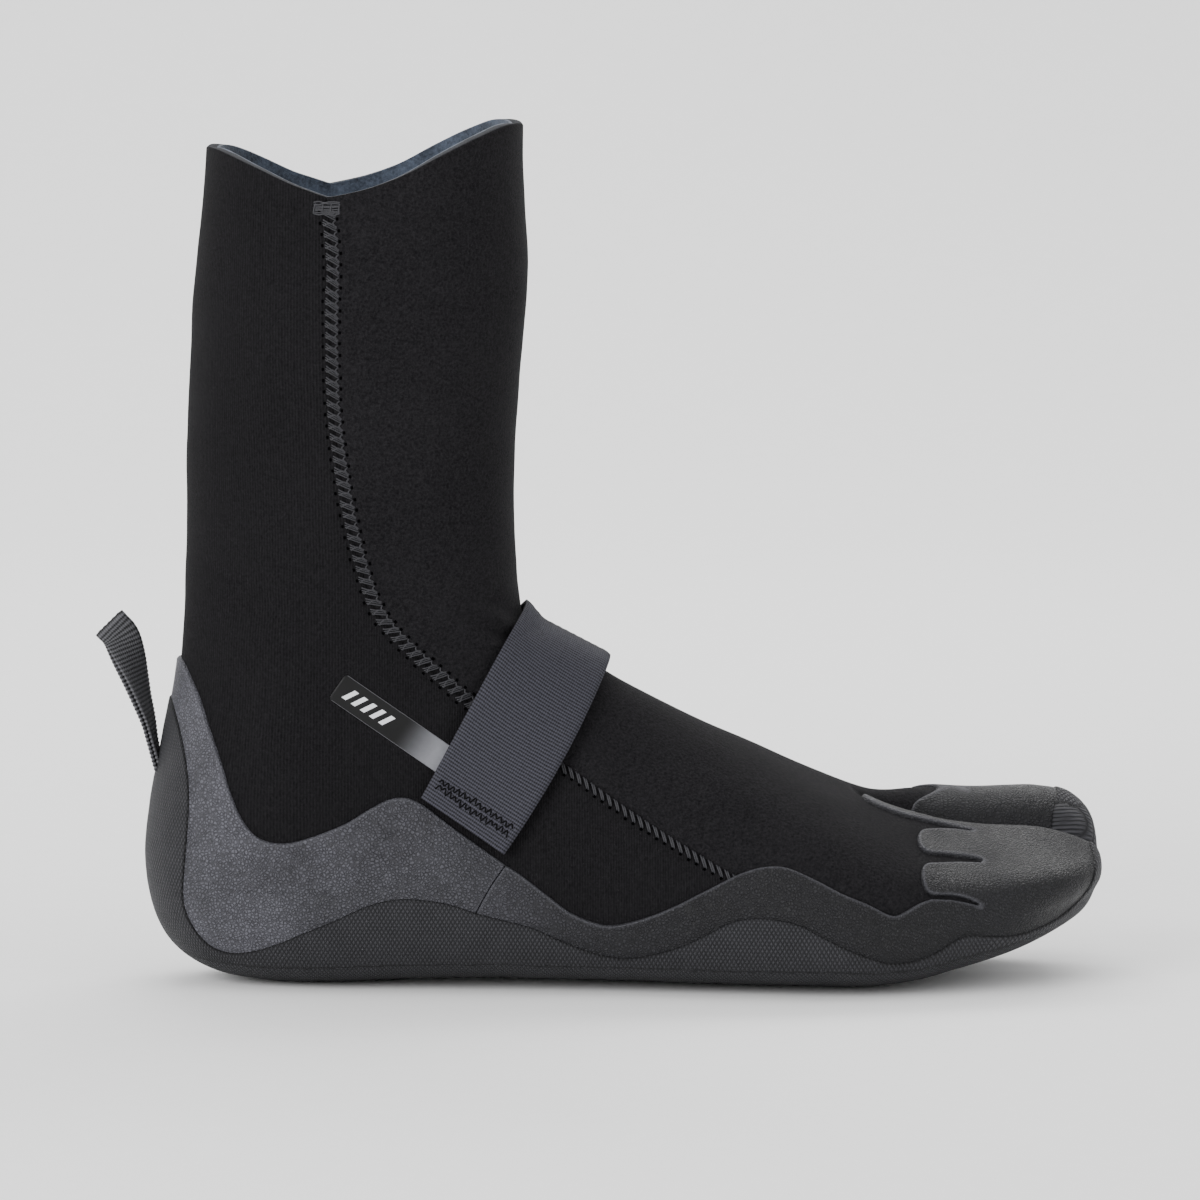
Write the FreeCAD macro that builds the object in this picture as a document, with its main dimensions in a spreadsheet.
"""Split-toe neoprene surf boot, right foot, as a parametric FreeCAD document.

Frame: +X heel to toe, +Z up, lateral (outer) side towards -Y, medial side +Y.
The sock is a stack of nested forms: the foot and leg are skinned once as a free-form
solid, and every layer of the boot is the space between two offsets of that form.
Side outlines, drawn on the X-Z plane and extruded across the boot, cut the layers
into the panels that a maker would sew, glue and mould.
"""
import FreeCAD, Part
import math
import os
from collections import namedtuple

DOC = FreeCAD.newDocument("neoprene_boot")

# ---------------------------------------------------------------- driving dimensions
SIZES = [
    ("sole_length", 280.0, "heel to toe over the rubber"),
    ("ball_width", 100.0, "across the ball over the rubber"),
    ("boot_height", 251.0, "floor to the front peak of the cuff"),
    ("neoprene", 3.0, "foam sheet of the sock"),
    ("lining", 1.0, "fleece laminated inside the foam"),
    ("rubber", 1.2, "moulded overlay on the sides"),
    ("tread", 2.4, "outsole rubber under the foot"),
    ("press", 0.4, "tread flattened where it rests"),
    ("toe_gap", 2.4, "gap between big toe and second toe"),
    ("toe_depth", 66.0, "length of the split, back from the tip"),
    ("seam_band", 5.6, "width of the cover-stitched seam"),
    ("seam_rise", 0.5, "height of the cover stitch"),
    ("bar_rise", 0.9, "height of a bar tack"),
    ("film", 0.35, "thickness of the transfer label"),
    ("strap_width", 31.5, "ribbed instep webbing"),
    ("strap_thick", 1.6, "ribbed instep webbing"),
    ("strap_lean", 27.6, "degrees that the strap leans forward"),
    ("loop_tape", 1.0, "loop tape on the sock"),
    ("hook_tape", 1.0, "hook tape under the strap end"),
    ("tape_length", 21.0, "both tapes, along the strap"),
    ("tab_length", 42.0, "strap end that peels off"),
    ("root_length", 35.0, "strap bonded to the medial side"),
    ("clearance", 0.4, "gap between pieces that move apart"),
    ("stitch_rise", 0.4, "thread standing on the strap end"),
    ("pull_width", 10.0, "heel webbing"),
    ("pull_thick", 1.3, "heel webbing"),
    ("pull_length", 44.0, "heel loop above its seam"),
    ("pull_round", 4.6, "outer radius of the loop's top"),
    ("pull_lean", 16.0, "degrees that the heel loop leans back"),
]
SHEET = DOC.addObject("Spreadsheet::Sheet", "Sizes")
for row, (alias, value, note) in enumerate(SIZES, start=1):
    SHEET.set(f"A{row}", note)
    SHEET.set(f"B{row}", str(value))
    SHEET.setAlias(f"B{row}", alias)
DOC.recompute()


def size(alias):
    """Value of one cell of the sheet."""
    return float(SHEET.get(alias))


# The tables below are drawn at these sizes and stretched to the ones in the sheet.
DRAWN_LENGTH = 280.0
DRAWN_WIDTH = 100.0
DRAWN_HEIGHT = 251.0
DRAWN_FLOOR = 2.0           # height of the drawn sock above the floor, at heel and ball
STRETCH_X = size("sole_length") / DRAWN_LENGTH
STRETCH_Y = size("ball_width") / DRAWN_WIDTH
SOCK_FLOOR = size("tread") - size("press")
STRETCH_Z = (size("boot_height") - SOCK_FLOOR) / (DRAWN_HEIGHT - DRAWN_FLOOR)
REACH = size("ball_width")  # half width of every side-cutting prism
LEFT_OUT = -40.0            # drawn limits that lie outside the boot all round
RIGHT_OUT = 330.0
BELOW = -30.0
ABOVE = 300.0
TOE_MIDDLE = 7.5            # drawn Y of the split between the big toe and the others
SPLIT_TOP = 110.0           # drawn height that clears the toes and stays below the cuff
FLEX_X = 123.5              # drawn place under the arch where the sole is parted


def place(x, z):
    """A drawn side-view point, in the model."""
    return FreeCAD.Vector(x * STRETCH_X, 0.0, (z - DRAWN_FLOOR) * STRETCH_Z + SOCK_FLOOR)


# ---------------------------------------------------------------- the last
# One station is an oblique slice of foot or leg. front and back are its end points in the
# side view; lateral and medial are its half widths, measured from "centre"; waist is where
# the widest point lies, as a share from back to front; square_front and square_back are
# the exponents of the superellipse; rise tilts the top towards the big toe; turn swings
# the offset forward at the toes; sole is the share of tread under it.
Station = namedtuple("Station", "front back lateral medial centre waist "
                     "square_front square_back rise turn sole")
LAST = [
    Station((112, 264), (20, 264), 37, 37, 0, .50, 2.1, 2.1, 0, 0, 0),
    Station((112, 235), (18.7, 235), 37, 37, 0, .50, 2.1, 2.1, 0, 0, 0),
    Station((112.6, 205), (15.4, 205), 37, 37, 0, .50, 2.1, 2.1, 0, 0, 0),
    Station((110.6, 174), (14, 174), 36, 36, 0, .50, 2.1, 2.1, 0, 0, 0),
    Station((109, 146), (13.2, 143), 34.5, 34.5, 0, .50, 2.1, 2.1, 0, 0, 0),
    Station((109.5, 124), (12.3, 113), 33.5, 33.5, 0, .50, 2.1, 2.1, 0, 0, 0),
    Station((112.5, 110), (9.9, 88), 34, 34, 0, .48, 2.1, 2.1, 0, 0, 0),
    Station((118.5, 102.5), (5.2, 62), 34.5, 34.5, 0, .45, 2.1, 2.1, 0, 0, 0),
    Station((125.5, 98), (2.4, 36), 34.5, 34.5, 0, .42, 2.1, 2.2, 0, 0, .2),
    Station((132, 94), (9.5, 12), 34.5, 34.5, 0, .40, 2.1, 2.3, 0, 0, .6),
    Station((138, 90.5), (32, 2.4), 35, 35, 0, .38, 2.1, 2.5, 0, 0, 1),
    Station((145, 87), (66, 2.2), 36, 36, 0, .36, 2.1, 2.7, 1, 0, 1),
    Station((155, 81.5), (103, 3.2), 38, 37.5, 0, .34, 2.1, 2.9, 2, 0, 1),
    Station((168, 74.5), (140, 2.6), 41.5, 40.5, 0, .33, 2.1, 3.0, 2, 0, 1),
    Station((183, 66.5), (173, 2.0), 46, 45, 0, .33, 2.1, 3.0, 3, 0, 1),
    Station((200, 58), (200, 2.0), 48.8, 48.8, 0, .35, 2.2, 3.0, 5, 0, 1),
    Station((222, 49.5), (222, 3.8), 47, 46, 1.0, .37, 2.3, 2.9, 9, 0, 1),
    Station((241, 45.5), (241, 7.5), 42, 41, 3.5, .40, 2.3, 2.7, 13, 15, 1),
    Station((256, 43), (256, 12.4), 34.5, 35, 6.5, .43, 2.3, 2.5, 12, 33, .9),
    Station((267, 41), (267, 17.5), 25.5, 27, 9.5, .46, 2.2, 2.3, 9, 52, .7),
    Station((274.5, 38), (274.5, 22.3), 16, 17, 12.0, .5, 2.1, 2.1, 4, 68, .4),
    Station((278.8, 34), (278.8, 27.2), 7, 7.5, 13.5, .5, 2.0, 2.0, 1, 82, 0),
]
RING_POINTS = 24


def ring(station, side, under):
    """Closed curve of one station, grown by side all round and by under at the sole."""
    front = place(*station.front)
    back = place(*station.back)
    along = (front - back).normalize()
    reach = (front - back).Length
    middle = back + along * reach * station.waist
    middle.y = station.centre * STRETCH_Y
    turn = math.radians(station.turn)
    bare = []
    for step in range(RING_POINTS):
        angle = 2.0 * math.pi * step / RING_POINTS
        cosine, sine = math.cos(angle), math.sin(angle)
        power = station.square_front if cosine > 0 else station.square_back
        length = reach * ((1.0 - station.waist) if cosine > 0 else station.waist)
        width = (station.medial if sine > 0 else station.lateral) * STRETCH_Y
        outward = length * math.copysign(abs(cosine) ** (2.0 / power), cosine)
        across = width * math.copysign(abs(sine) ** (2.0 / power), sine)
        if cosine > 0:
            outward += station.rise * STRETCH_Z * (across / width) * cosine ** 2
        bare.append((outward, across))
    points = []
    for step in range(RING_POINTS):
        before = bare[step - 1]
        after = bare[(step + 1) % RING_POINTS]
        run_out, run_across = after[0] - before[0], after[1] - before[1]
        run = math.hypot(run_out, run_across)
        downward = max(0.0, -math.cos(2.0 * math.pi * step / RING_POINTS)) ** 2
        grow = side + (under - side) * station.sole * downward
        outward = bare[step][0] + grow * math.cos(turn) * run_across / run
        across = bare[step][1] - grow * math.cos(turn) * run_out / run
        point = middle + along * outward
        point.x += side * math.sin(turn)
        point.y += across
        points.append(point)
    curve = Part.BSplineCurve()
    knots = [step / RING_POINTS for step in range(RING_POINTS + 1)]
    curve.interpolate(Points=points, PeriodicFlag=True, Parameters=knots)
    return curve


def skin(name, side, under):
    """Free-form solid through every ring: no primitive or sketch feature makes a last."""
    curves = [ring(station, side, under) for station in LAST]
    poles = [curve.getPoles() for curve in curves]
    count = len(poles[0])
    stops = [0.0]
    for lower, upper in zip(poles, poles[1:]):
        stops.append(stops[-1] + sum((b - a).Length for a, b in zip(lower, upper)) / count)
    stops = [stop / stops[-1] for stop in stops]
    ribs = []
    for index in range(count):
        rib = Part.BSplineCurve()
        rib.interpolate(Points=[row[index] for row in poles], Parameters=stops)
        ribs.append(rib)
    surface = Part.BSplineSurface()
    surface.buildFromPolesMultsKnots(
        [rib.getPoles() for rib in ribs], curves[0].getMultiplicities(),
        ribs[0].getMultiplicities(), curves[0].getKnots(), ribs[0].getKnots(),
        True, False, curves[0].Degree, ribs[0].Degree)
    caps = [Part.Face(Part.Wire([end.toShape()])) for end in (curves[0], curves[-1])]
    solid = Part.makeSolid(Part.makeShell([surface.toShape()] + caps))
    if solid.Volume < 0:
        solid.reverse()
    form = DOC.addObject("Part::Feature", name)
    form.Shape = solid
    return form


# ---------------------------------------------------------------- document helpers
def boolean(kind, name, base, tool):
    """Part::Cut, Part::Common or Part::Fuse of two objects."""
    result = DOC.addObject(f"Part::{kind}", name)
    result.Base = base
    result.Tool = tool
    return result


def trimmed(name, base, *tools):
    """base with every tool cut away in turn; the last cut carries the name."""
    for index, tool in enumerate(tools, start=1):
        step = name if index == len(tools) else f"{name}_step{index}"
        base = boolean("Cut", step, base, tool)
    return base


def bind(obj, **expressions):
    for key, expression in expressions.items():
        obj.setExpression(key, expression)


def extruded(name, edges):
    """Solid right across the boot from a closed side outline."""
    outline = DOC.addObject("Part::Feature", f"{name}_outline")
    outline.Shape = Part.Wire(edges)
    solid = DOC.addObject("Part::Extrusion", name)
    solid.Base = outline
    solid.DirMode = "Custom"
    solid.Dir = FreeCAD.Vector(0, 1, 0)
    solid.Solid = True
    solid.Symmetric = True
    bind(solid, LengthFwd="2 * Sizes.ball_width")
    return solid


def smooth_edge(points):
    """Edge through points."""
    edge = Part.BSplineCurve()
    edge.interpolate(Points=points)
    return edge.toShape()


def prism(name, curved, straight):
    """Solid right across the boot: a smooth edge through curved, closed by straight."""
    curved = [place(*point) for point in curved]
    straight = [place(*point) for point in straight]
    edges = []
    if len(curved) > 2:
        edges.append(smooth_edge(curved))
        corners = [curved[-1]] + straight + [curved[0]]
    else:
        corners = curved + straight + [curved[0]]
    for start, end in zip(corners, corners[1:]):
        edges.append(Part.LineSegment(start, end).toShape())
    return extruded(name, edges)


def block(name, low, high, lean=0.0):
    """Box between two corners, in axes leaned about Y by lean degrees."""
    box = DOC.addObject("Part::Box", name)
    box.Length, box.Width, box.Height = (high[i] - low[i] for i in range(3))
    turn = FreeCAD.Rotation(FreeCAD.Vector(0, 1, 0), lean)
    box.Placement = FreeCAD.Placement(turn.multVec(FreeCAD.Vector(*low)), turn)
    return box


# ---------------------------------------------------------------- nested forms
NEOPRENE = size("neoprene")
INSIDE = -(NEOPRENE + size("lining"))
TAPES = size("loop_tape") + size("clearance") + size("hook_tape")

last_inside = skin("last_inside", INSIDE, INSIDE)
last_lining = skin("last_lining", -NEOPRENE, -NEOPRENE)
last_sock = skin("last_sock", 0.0, 0.0)
last_rubber = skin("last_rubber", size("rubber"), size("tread"))


def toe_slot(name, extra):
    """Round-ended gap between the toes, widened by extra on each side."""
    radius = f"Sizes.toe_gap / 2 + {extra}"
    start = size("sole_length") - size("toe_depth")
    middle = TOE_MIDDLE * STRETCH_Y
    low = place(0, BELOW).z
    high = place(0, SPLIT_TOP).z
    end = DOC.addObject("Part::Cylinder", f"{name}_end")
    bind(end, Radius=radius)
    end.Height = high - low
    end.Placement.Base = FreeCAD.Vector(start, middle, low)
    gap = DOC.addObject("Part::Box", f"{name}_gap")
    bind(gap, Width=f"2 * ({radius})", Length="Sizes.toe_depth * 2")
    gap.Height = high - low
    bind(gap, **{".Placement.Base.x": "Sizes.sole_length - Sizes.toe_depth"})
    bind(gap, **{".Placement.Base.y": f"{middle} - ({radius})"})
    gap.Placement.Base.z = low
    return boolean("Fuse", name, end, gap)


rubber_form = boolean("Cut", "rubber_form", last_rubber, toe_slot("slot_rubber", "0"))
sock_form = boolean("Cut", "sock_form", last_sock, toe_slot("slot_sock", "Sizes.rubber"))
lining_form = boolean("Cut", "lining_form", last_lining,
                      toe_slot("slot_lining", "Sizes.rubber + Sizes.neoprene"))
inside_form = boolean("Cut", "inside_form", last_inside,
                      toe_slot("slot_inside", "Sizes.rubber + Sizes.neoprene + Sizes.lining"))

# ---------------------------------------------------------------- side outlines
# V-shaped cuff: everything above this edge is cut away.
CUFF_BACK = [(14, 246), (22, 243.6), (32, 239.8), (43, 235.6), (54.8, 231.6)]
CUFF_FRONT = [(54.8, 231.6), (66, 233.8), (78, 238), (92, 244.6), (105, 249.4), (120, 251.6)]
above_cuff_back = prism("above_cuff_back", CUFF_BACK, [(54.8, ABOVE), (LEFT_OUT, ABOVE),
                                                       (LEFT_OUT, 246)])
above_cuff_front = prism("above_cuff_front", CUFF_FRONT, [(RIGHT_OUT, 251.6),
                                                          (RIGHT_OUT, ABOVE), (54.8, ABOVE)])
above_cuff = boolean("Fuse", "above_cuff", above_cuff_back, above_cuff_front)

# The seam sweeps from the cuff notch down the leg and forward over the instep.
SEAM = [(54.8, 231.6), (56.3, 214), (56, 195), (56.3, 174), (58.1, 157), (63.6, 129),
        (77.4, 103.2), (98.2, 85), (123, 68.3), (142.8, 54.2), (163.6, 40.8), (181, 31)]
front_side = prism("front_side", SEAM, [(196, BELOW), (RIGHT_OUT, BELOW),
                                        (RIGHT_OUT, ABOVE), (54.8, ABOVE)])
under_foot = prism("under_foot", [(LEFT_OUT, 11), (60, 11), (150, 11), (215, 12), (250, 19),
                                  (RIGHT_OUT, 52)], [(RIGHT_OUT, BELOW), (LEFT_OUT, BELOW)])

# Upper edge of the moulded overlays, heel first, and the joint between them.
JOINT_TOP = (105.3, 40)
JOINT_FOOT = (97.3, 22)
heel_side = prism("heel_side", [(9, 100.5), (15.5, 93), (20.2, 79.5), (25.5, 61), (33, 48.5),
                                (41.3, 46), (52.2, 48.7), (66, 55.7), (76.8, 59.5),
                                (88.3, 52.2), JOINT_TOP],
                  [JOINT_FOOT, (97.3, BELOW), (LEFT_OUT, BELOW), (LEFT_OUT, 100.5)])
toe_side = prism("toe_side", [JOINT_TOP, (117.6, 30.8), (128, 23.8), (136.6, 22), (150, 25.6),
                              (172.1, 36.4), (183.3, 39), (199, 33), (217, 25)],
                 [(226, 30), (226.5, 46), (211, 60), (211, 120), (RIGHT_OUT, 120),
                  (RIGHT_OUT, BELOW), (97.3, BELOW), JOINT_FOOT])
# Upper edge of the outsole: up the back of the heel, in waves along the side, up the toe.
tread_side = prism("tread_side", [(7.5, 86), (13.2, 75), (15, 59), (13.8, 38), (14.5, 24),
                                  (26, 14.4), (40, 17.3), (59.8, 24.9), (78, 30), (97.3, 25.8),
                                  (122, 17.9), (139.3, 13.2), (157, 16.5), (176.8, 24.3),
                                  (196, 19.4), (216.7, 11.6), (238, 18.8), (253, 19.1),
                                  (268, 24.3), (277, 35)],
                   [(277, 44), (RIGHT_OUT, 44), (RIGHT_OUT, BELOW), (LEFT_OUT, BELOW),
                    (LEFT_OUT, 86)])


def band(name, line, width, start, stop):
    """Strip of even width along the drawn line, from point start to point stop."""
    middle = [place(*point) for point in line[start:stop]]
    left, right = [], []
    for index, point in enumerate(middle):
        run = middle[min(index + 1, len(middle) - 1)] - middle[max(index - 1, 0)]
        normal = FreeCAD.Vector(-run.z, 0, run.x).normalize() * (width / 2.0)
        left.append(point + normal)
        right.append(point - normal)
    return extruded(name, [smooth_edge(left),
                           Part.LineSegment(left[-1], right[-1]).toShape(),
                           smooth_edge(right),
                           Part.LineSegment(right[0], left[0]).toShape()])


# ---------------------------------------------------------------- the sock
neoprene_wall = boolean("Cut", "neoprene_wall", sock_form, lining_form)
lining_wall = boolean("Cut", "lining_wall", lining_form, inside_form)
sock_open = boolean("Cut", "sock_open", neoprene_wall, above_cuff)
lining_open = boolean("Cut", "lining_open", lining_wall, above_cuff)

GUSSET_HALF = size("toe_gap") / 2.0 + size("rubber") + NEOPRENE
gusset_zone = block("gusset_zone",
                    (size("sole_length") - size("toe_depth") - GUSSET_HALF,
                     TOE_MIDDLE * STRETCH_Y - GUSSET_HALF, place(0, BELOW).z),
                    (size("sole_length") * 1.2, TOE_MIDDLE * STRETCH_Y + GUSSET_HALF,
                     place(0, SPLIT_TOP).z))
sock_upper = boolean("Cut", "sock_upper", sock_open, under_foot)
sock_sides = boolean("Cut", "sock_sides", sock_upper, gusset_zone)
front_panel = boolean("Common", "front_panel", sock_sides, front_side)
rear_panel = boolean("Cut", "rear_panel", sock_sides, front_side)
sock_foot = boolean("Common", "sock_foot", sock_open, under_foot)
sock_sole = boolean("Cut", "sock_sole", sock_foot, gusset_zone)
toe_gusset = boolean("Common", "toe_gusset", sock_open, gusset_zone)

lining_upper = boolean("Cut", "lining_upper", lining_open, under_foot)
front_lining = boolean("Common", "front_lining", lining_upper, front_side)
rear_lining = boolean("Cut", "rear_lining", lining_upper, front_side)
sole_lining = boolean("Common", "sole_lining", lining_open, under_foot)

# ---------------------------------------------------------------- moulded rubber
rubber_wall = boolean("Cut", "rubber_wall", rubber_form, sock_form)
below_floor = block("below_floor", (-size("sole_length"), -REACH, place(0, BELOW).z),
                    (size("sole_length") * 2, REACH, 0.0))
heel_zone = boolean("Common", "heel_zone", rubber_wall, heel_side)
toe_zone = boolean("Common", "toe_zone", rubber_wall, toe_side)
heel_overlay = trimmed("heel_overlay", heel_zone, tread_side)
forefoot_overlay = trimmed("forefoot_overlay", toe_zone, tread_side)
# The one-piece sole is written as two solids that meet under the arch.
tread_zone = trimmed("tread_zone", boolean("Common", "tread_wall", rubber_wall, tread_side),
                     below_floor)
behind_arch = block("behind_arch", (-size("sole_length"), -REACH, place(0, BELOW).z),
                    (place(FLEX_X, 0).x, REACH, place(0, ABOVE).z))
outsole_heel = boolean("Common", "outsole_heel", tread_zone, behind_arch)
outsole_forefoot = boolean("Cut", "outsole_forefoot", tread_zone, behind_arch)

# ---------------------------------------------------------------- seams and bar tacks
WIDE = size("sole_length")
lateral_half = block("lateral_half", (-WIDE, -REACH, place(0, BELOW).z),
                     (2 * WIDE, 0.0, place(0, ABOVE).z))
medial_half = block("medial_half", (-WIDE, 0.0, place(0, BELOW).z),
                    (2 * WIDE, REACH, place(0, ABOVE).z))
last_seam = skin("last_seam", size("seam_rise"), size("seam_rise"))
seam_wall = boolean("Cut", "seam_wall", last_seam, last_sock)
seam_band = band("seam_band", SEAM, size("seam_band"), 0, 11)
BAR_Z = (228.4, 240.0)
BAR_X = (50.6, 59.0)
bar_zone = prism("bar_zone", [(BAR_X[0], BAR_Z[0]), (BAR_X[0], BAR_Z[1])],
                 [(BAR_X[1], BAR_Z[1]), (BAR_X[1], BAR_Z[0])])
seam_ring = trimmed("seam_ring", boolean("Common", "seam_zone", seam_wall, seam_band),
                    toe_side, bar_zone)
lateral_seam_thread = boolean("Common", "lateral_seam_thread", seam_ring, lateral_half)
medial_seam_thread = boolean("Common", "medial_seam_thread", seam_ring, medial_half)
last_bar = skin("last_bar", size("bar_rise"), size("bar_rise"))
bar_ring = trimmed("bar_ring", boolean("Common", "bar_stack",
                                       boolean("Cut", "bar_wall", last_bar, last_sock),
                                       bar_zone), above_cuff)
lateral_bar_tack = boolean("Common", "lateral_bar_tack", bar_ring, lateral_half)
medial_bar_tack = boolean("Common", "medial_bar_tack", bar_ring, medial_half)

# ---------------------------------------------------------------- instep strap
# The strap's own axes: "across" runs down its width, "along" runs up its length.
LEAN = size("strap_lean")
leaned = FreeCAD.Rotation(FreeCAD.Vector(0, 1, 0), LEAN)
ACROSS = leaned.multVec(FreeCAD.Vector(1, 0, 0))
ALONG = leaned.multVec(FreeCAD.Vector(0, 0, 1))
STRAP_LOW = ACROSS.dot(place(109.6, 76.9)) - size("strap_width") / 2.0
STRAP_HIGH = STRAP_LOW + size("strap_width")
STRAP_END = ALONG.dot(place(95.6, 48.5))
STRAP_TOP = ALONG.dot(place(118.5, 102.5)) + 7.0     # clear of the instep under the strap
PEEL_LINE = STRAP_END + size("tab_length")
ROOT_FOOT = ALONG.dot(place(95.6, 44.0))
ROOT_LINE = ROOT_FOOT + size("root_length")
GAP = size("clearance")
TAPE_INSET = 1.5            # tapes end short of the strap end
STITCH_INSET = 4.0          # from the strap end to its row of stitching
STITCH_MARGIN = 2.5         # from each side of the strap
STITCH_ROW = 4.5


def strap_block(name, low, high, near, far):
    """Leaned box over the strap's width, from low to high along it and near to far in Y."""
    return block(name, (STRAP_LOW, near, low), (STRAP_HIGH, far, high), LEAN)


last_tape_loop = skin("last_tape_loop", size("loop_tape"), size("loop_tape"))
last_tape_hook = skin("last_tape_hook", TAPES - size("hook_tape"), TAPES - size("hook_tape"))
last_strap_in = skin("last_strap_in", TAPES, TAPES)
last_strap_out = skin("last_strap_out", TAPES + size("strap_thick"),
                      TAPES + size("strap_thick"))
last_stitch = skin("last_stitch", TAPES + size("strap_thick") + size("stitch_rise"),
                   TAPES + size("strap_thick") + size("stitch_rise"))
strap_wall = boolean("Cut", "strap_wall", last_strap_out, last_strap_in)
strap_tab = boolean("Common", "strap_tab", strap_wall,
                    strap_block("tab_zone", STRAP_END, PEEL_LINE, -REACH, 0.0))
span_lateral = strap_block("span_lateral", PEEL_LINE + GAP, STRAP_TOP, -REACH, 0.0)
span_medial = strap_block("span_medial", ROOT_LINE + GAP, STRAP_TOP, 0.0, REACH)
strap_span = boolean("Common", "strap_span", strap_wall,
                     boolean("Fuse", "span_zone", span_lateral, span_medial))
root_fold = boolean("Common", "root_fold",
                    boolean("Cut", "root_wall", last_strap_out, last_sock),
                    strap_block("root_zone", ROOT_FOOT, ROOT_LINE, 0.0, REACH))
strap_root = trimmed("strap_root", root_fold, heel_zone, toe_zone, seam_ring)
TAPE_LOW = STRAP_END + TAPE_INSET
TAPE_HIGH = TAPE_LOW + size("tape_length")
loop_zone = strap_block("loop_zone", TAPE_LOW, TAPE_HIGH, -REACH, 0.0)
loop_patch = trimmed("loop_patch", boolean("Common", "loop_strip",
                                           boolean("Cut", "loop_wall", last_tape_loop,
                                                   last_sock), loop_zone), heel_zone)
hook_patch = boolean("Common", "hook_patch",
                     boolean("Cut", "hook_wall", last_strap_in, last_tape_hook),
                     strap_block("hook_zone", TAPE_LOW, TAPE_HIGH, -REACH, 0.0))
STITCH_LOW = STRAP_END + STITCH_INSET
strap_end_stitching = boolean("Common", "strap_end_stitching",
                              boolean("Cut", "stitch_wall", last_stitch, last_strap_out),
                              block("stitch_zone",
                                    (STRAP_LOW + STITCH_MARGIN, -REACH, STITCH_LOW),
                                    (STRAP_HIGH - STITCH_MARGIN, 0.0,
                                     STITCH_LOW + STITCH_ROW), LEAN))

# ---------------------------------------------------------------- transfer label
# It runs forward under the strap and stops at the loop tape.
label_zone = prism("label_zone", [(60, 95.4), (54.2, 88.5)], [(86.6, 66.5), (90.7, 74.2)])
last_film = skin("last_film", size("film"), size("film"))
film_ring = boolean("Common", "film_ring", boolean("Cut", "film_wall", last_film, last_sock),
                    label_zone)
film_label = trimmed("film_label", boolean("Common", "film_strip", film_ring, lateral_half),
                     loop_zone)

# ---------------------------------------------------------------- heel pull loop
# Two thicknesses of webbing leave the heel strip together and open into a teardrop.
PULL_FOOT = place(2.6, 66.0)
PULL_SEWN = 4.0             # height over which the two thicknesses stay together
PULL_TAIL = 7.0             # webbing below the hinge, most of it inside the heel strip
PULL_SPREAD = 5.0           # how far the tail widens into the heel strip
pull_lean = FreeCAD.Rotation(FreeCAD.Vector(0, 1, 0), -size("pull_lean"))


def xz_sketch(body, edges):
    """Sketch of edges on the X-Z plane of the body."""
    sketch = body.newObject("Sketcher::SketchObject", f"{body.Name}_outline")
    plane = next(f for f in body.Origin.OriginFeatures if f.Role == "XZ_Plane")
    sketch.AttachmentSupport = [(plane, "")]
    sketch.MapMode = "FlatFace"
    for edge in edges:
        sketch.addGeometry(edge, False)
    return sketch


def webbing_pad(name, edges):
    """Body as wide as the heel webbing, centred on the boot's middle plane."""
    body = DOC.addObject("PartDesign::Body", name)
    sketch = xz_sketch(body, edges)
    pad = body.newObject("PartDesign::Pad", f"{name}_width")
    pad.Profile = sketch
    pad.SideType = "Symmetric"
    bind(pad, Length="Sizes.pull_width")
    body.Placement = FreeCAD.Placement(PULL_FOOT, pull_lean)
    return body


def loop_edges():
    """Teardrop outline and the finger gap inside it."""
    thick = size("pull_thick")
    outer = size("pull_round")
    top = size("pull_length") - outer
    tilt = math.asin(outer / math.hypot(thick, top)) - math.atan2(thick, top)
    centre = FreeCAD.Vector(0, top, 0)
    edges = []
    for radius, low, foot in ((outer, 0.0, thick),
                              (outer - thick, PULL_SEWN, thick - thick / math.cos(tilt)
                               + PULL_SEWN * math.tan(tilt))):
        touch = FreeCAD.Vector(radius * math.cos(tilt), top - radius * math.sin(tilt), 0)
        right = FreeCAD.Vector(foot, low, 0)
        left = FreeCAD.Vector(-foot, low, 0)
        edges.append(Part.LineSegment(left, right))
        edges.append(Part.LineSegment(right, touch))
        circle = Part.Circle(centre, FreeCAD.Vector(0, 0, 1), radius)
        edges.append(Part.ArcOfCircle(circle, -tilt, math.pi + tilt))
        edges.append(Part.LineSegment(FreeCAD.Vector(-touch.x, touch.y, 0), left))
    return edges


pull_loop = webbing_pad("pull_loop", loop_edges())


def base_edges():
    """Sewn end of the webbing, from the hinge line down into the heel strip."""
    thick = size("pull_thick")
    high = -(thick + size("clearance"))
    low = high - PULL_TAIL
    corners = [(-thick, high), (thick, high), (thick + PULL_SPREAD, low), (-thick, low)]
    corners = [FreeCAD.Vector(x, y, 0) for x, y in corners]
    return [Part.LineSegment(a, b) for a, b in zip(corners, corners[1:] + corners[:1])]


pull_loop_base = boolean("Cut", "pull_loop_base", webbing_pad("base_webbing", base_edges()),
                         last_rubber)

# ---------------------------------------------------------------- check and write
NODES = [front_panel, rear_panel, sock_sole, toe_gusset, front_lining, rear_lining,
         sole_lining, heel_overlay, forefoot_overlay, outsole_heel, outsole_forefoot,
         lateral_seam_thread, medial_seam_thread, lateral_bar_tack, medial_bar_tack,
         film_label, loop_patch, strap_root, strap_span, strap_tab, hook_patch,
         strap_end_stitching, pull_loop_base, pull_loop]

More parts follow.
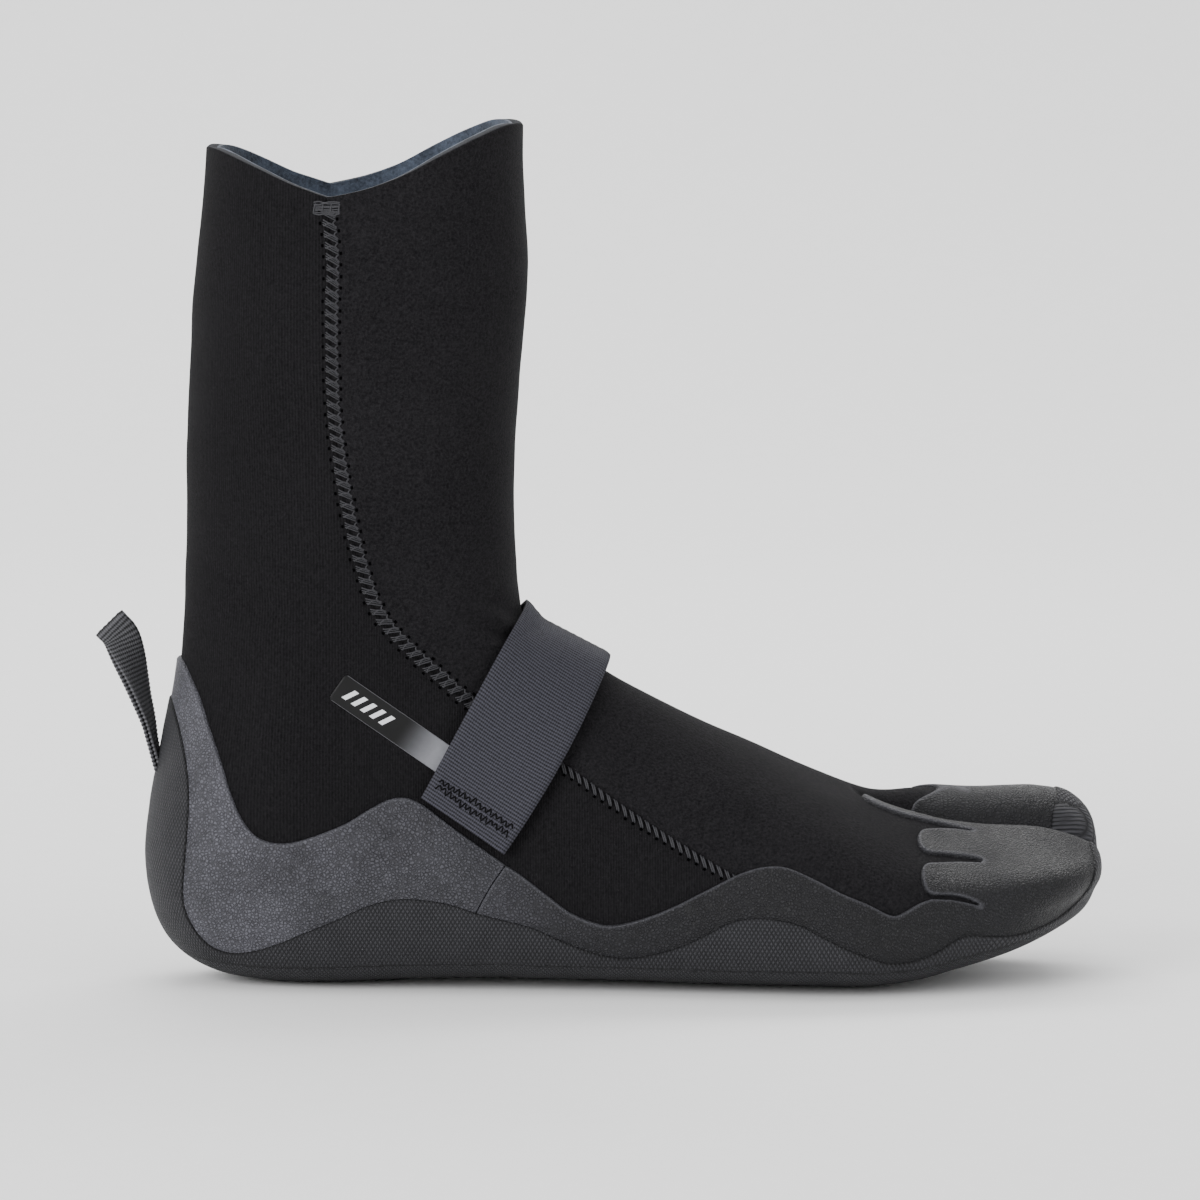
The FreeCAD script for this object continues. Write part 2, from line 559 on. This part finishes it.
DOC.recompute()
for obj in DOC.Objects:
    if "Invalid" in obj.State or "Error" in obj.State:
        raise RuntimeError(f"{obj.Name} did not compute: {obj.State}")
for node in NODES:
    if node.Shape.isNull() or not node.Shape.isValid() or not node.Shape.Solids:
        raise RuntimeError(f"{node.Name} has no valid solid")

# The origin is under the middle of the whole boot, on the floor.
bounds = FreeCAD.BoundBox()
for node in NODES:
    bounds.add(node.Shape.optimalBoundingBox(False))
shift = FreeCAD.Vector(-bounds.Center.x, -bounds.Center.y, -bounds.ZMin)
for node in NODES:
    node.Placement = FreeCAD.Placement(shift, FreeCAD.Rotation()).multiply(node.Placement)
DOC.recompute()

os.makedirs("parts", exist_ok=True)
for node in NODES:
    node.Label = node.Name
    node.Shape.exportStep(f"parts/{node.Label}.step")
    print(f"{node.Label:22s} {len(node.Shape.Solids)} solid {node.Shape.Volume / 1000:8.3f} cm3")
print("size mm", round(bounds.XLength, 2), round(bounds.YLength, 2), round(bounds.ZLength, 2))


def strap_face(across, along, side):
    """Point of the strap's outer face, side -1 lateral or +1 medial, before the shift."""
    middle = ACROSS * across + ALONG * along
    ray = Part.LineSegment(middle, middle + FreeCAD.Vector(0, side * REACH, 0)).toShape()
    hits = last_strap_out.Shape.common(ray).Vertexes
    return max((vertex.Point for vertex in hits), key=lambda point: abs(point.y))


def report_hinge(name, start, end):
    """Print a hinge's middle and direction, in metres, in the written frame."""
    middle = ((start + end) / 2.0 + shift) / 1000.0
    axis = (end - start).normalize()
    print(name, "pos_m", [round(value, 5) for value in middle],
          "axis", [round(value, 5) for value in axis])


# Strap hinges lie on its outer face, from its front edge to its rear edge.
report_hinge("strap_swing", strap_face(STRAP_HIGH, ROOT_LINE + GAP / 2.0, 1),
             strap_face(STRAP_LOW, ROOT_LINE + GAP / 2.0, 1))
report_hinge("strap_peel", strap_face(STRAP_HIGH, PEEL_LINE + GAP / 2.0, -1),
             strap_face(STRAP_LOW, PEEL_LINE + GAP / 2.0, -1))
half_webbing = FreeCAD.Vector(0, size("pull_width") / 2.0, 0)
report_hinge("pull_loop_swing", PULL_FOOT + half_webbing, PULL_FOOT - half_webbing)
